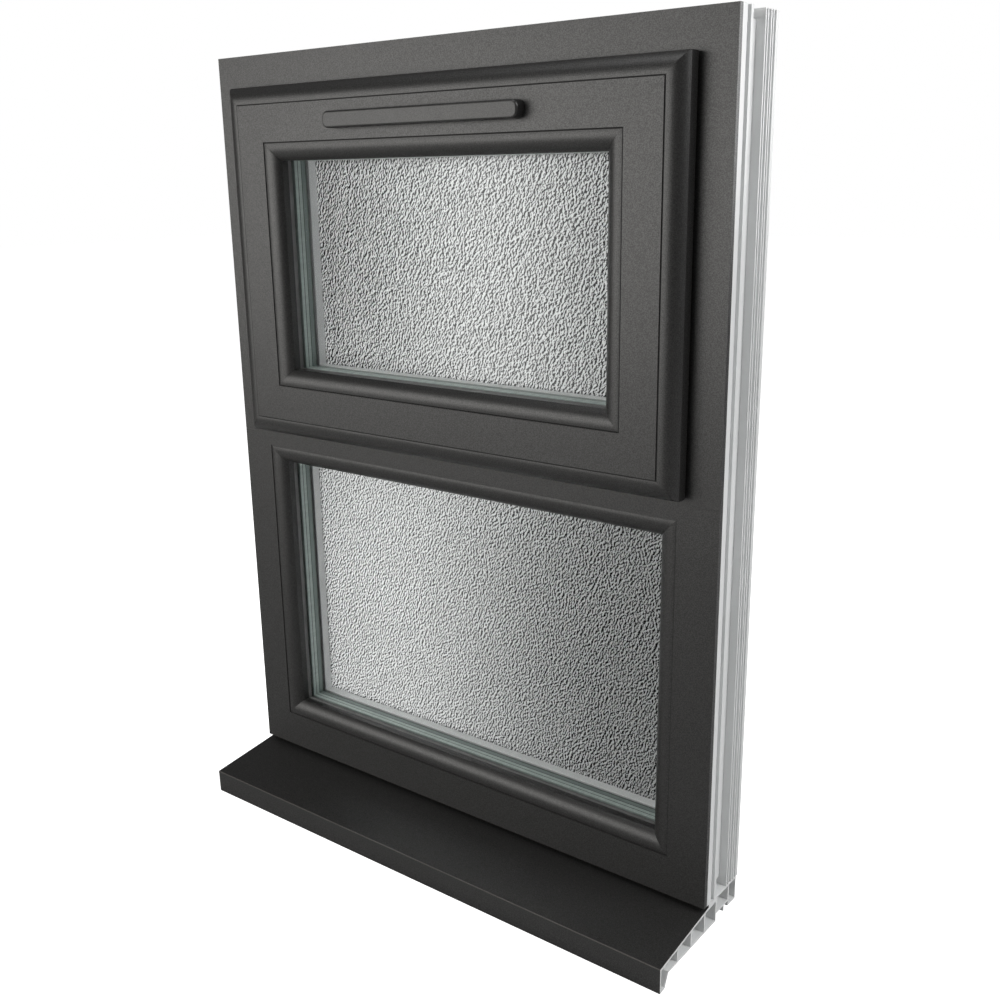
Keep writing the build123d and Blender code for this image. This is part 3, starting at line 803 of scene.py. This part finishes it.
# studio: pale floor, broad key from the left, light from the right on the white edges
white = (1.0, 1.0, 1.0)
lamps = [
    {
        "name": "keyLight",
        "place": (-1.10, -1.97, 0.80),
        "target": (0.0, 0.0, 0.62),
        "size": (2.4, 1.25),
        "power": 33.5,
        "tint": (1.0, 0.985, 0.955),
    },
    {
        "name": "topLight",
        "place": (-0.2, -0.6, 2.4),
        "target": (0.0, 0.0, 0.6),
        "size": (1.2, 1.0),
        "power": 9.0,
        "tint": white,
    },
    {
        "name": "roomLight",
        "place": (0.9, 1.9, 1.2),
        "target": (0.0, 0.05, 0.5),
        "size": (1.4, 1.2),
        "power": 17.0,
        "tint": white,
    },
    {
        "name": "edgeLight",
        "place": (2.2, 0.30, 2.0),
        "target": (0.3, 0.03, 0.45),
        "size": (1.0, 1.4),
        "power": 47.0,
        "tint": white,
    },
]
for row in lamps:
    data = bpy.data.lights.new(row["name"], "AREA")
    data.shape = "RECTANGLE"
    data.size, data.size_y = row["size"]
    data.energy = row["power"]
    data.color = row["tint"]
    lamp = bpy.data.objects.new(row["name"], data)
    bpy.context.scene.collection.objects.link(lamp)
    lamp.visible_camera = False
    lamp.location = row["place"]
    aim = Vector(row["target"]) - Vector(row["place"])
    lamp.rotation_euler = aim.to_track_quat("-Z", "Y").to_euler()


def flatSheet(name, corners, material):
    mesh = bpy.data.meshes.new(name)
    mesh.from_pydata(corners, [], [(0, 1, 2, 3)])
    mesh.materials.append(material)
    sheet = bpy.data.objects.new(name, mesh)
    bpy.context.scene.collection.objects.link(sheet)
    return sheet


# soft screens behind the panes, which light the pebbles from the room and show only through them
screens = {
    "place": 0.20,
    "strength": 1.42,
    "rows": [
        {
            "name": "lowScreen",
            "x": (-0.80, 0.50),
            "z": (0.0, 0.42),
            "peak": -0.20,
            "reach": 0.33,
            "least": 0.0,
        },
        {
            "name": "highScreen",
            "x": (-0.60, 0.50),
            "z": (0.42, 0.95),
            "peak": -0.03,
            "reach": 0.24,
            "least": 0.02,
        },
    ],
}


def screenGlow(row):
    finish = Finish(row["name"])
    near = finish.span(abs(finish.x - row["peak"]), row["reach"], 0.0, row["least"], 1.0)
    colour = finish.node("ShaderNodeCombineColor", Red=near, Green=near, Blue=near)["Color"]
    glow = finish.node("ShaderNodeEmission", Color=colour, Strength=screens["strength"])["Emission"]
    return finish.done(glow)


for row in screens["rows"]:
    x0, x1 = row["x"]
    z0, z1 = row["z"]
    y = screens["place"]
    corners = [(x0, y, z0), (x1, y, z0), (x1, y, z1), (x0, y, z1)]
    screen = flatSheet(row["name"], corners, screenGlow(row))
    screen.visible_camera = False
    screen.visible_glossy = False
    screen.visible_shadow = False

# the floor and the air are white to the camera, and dimmer where they light the part
stageTone = {
    "through": 0.10,
    "air": 0.115,
    "level": -0.0146,
    "reach": 12.0,
    "dull": (0.50, 0.50, 0.50),
    "pale": (0.86, 0.86, 0.86),
    "glow": 0.95,
}


def seenShare(nodes):
    # 1 to the camera, and a small share of it to what shows through bent glass
    rays = nodes.node("ShaderNodeLightPath")
    return rays["Is Camera Ray"].most(rays["Is Transmission Ray"] * stageTone["through"])


world = bpy.data.worlds.new("studioWorld")
bpy.context.scene.world = world
world.use_nodes = True
world.node_tree.nodes.clear()
air = Nodes(world.node_tree)
dim = air.node("ShaderNodeBackground", Color=white, Strength=stageTone["air"])["Background"]
plain = air.node("ShaderNodeBackground", Color=white, Strength=1.0)["Background"]
air.node("ShaderNodeOutputWorld", Surface=air.mix(seenShare(air), dim, plain))
bpy.context.scene.view_settings.view_transform = "Standard"

paper = Finish("floorPaper")
dull = paper.node("ShaderNodeBsdfDiffuse", Color=stageTone["dull"])["BSDF"]
lit = paper.node("ShaderNodeBsdfDiffuse", Color=stageTone["pale"])["BSDF"]
glow = paper.node("ShaderNodeEmission", Color=white, Strength=stageTone["glow"])["Emission"]
bright = paper.node("ShaderNodeAddShader", i0=lit, i1=glow)["Shader"]
reach = stageTone["reach"]
level = stageTone["level"]
corners = [(-reach, -reach, level), (reach, -reach, level), (reach, reach, level), (-reach, reach, level)]
floor = flatSheet("floor", corners, paper.done(paper.mix(seenShare(paper), dull, bright)))

# camera at the photograph's view
eye = {
    "place": (0.72620, -0.85614, 0.69943),
    "ahead": (-0.58667955, 0.76264146, -0.27236943),
    "right": (0.79496250, 0.60649379, -0.01413864),
    "sensor": 36.0,
    "lensShare": 1.14063,
    "near": 0.05,
}
cameraData = bpy.data.cameras.new("photoView")
cameraData.sensor_width = eye["sensor"]
cameraData.lens = eye["sensor"] * eye["lensShare"]
cameraData.clip_start = eye["near"]
camera = bpy.data.objects.new("photoView", cameraData)
bpy.context.scene.collection.objects.link(camera)
ahead = Vector(eye["ahead"]).normalized()
right = Vector(eye["right"]).normalized()
upward = right.cross(ahead).normalized()
turned = Matrix((right, upward, -ahead)).transposed()
camera.matrix_world = Matrix.Translation(eye["place"]) @ turned.to_4x4()
bpy.context.scene.camera = camera
print("studio and camera set")
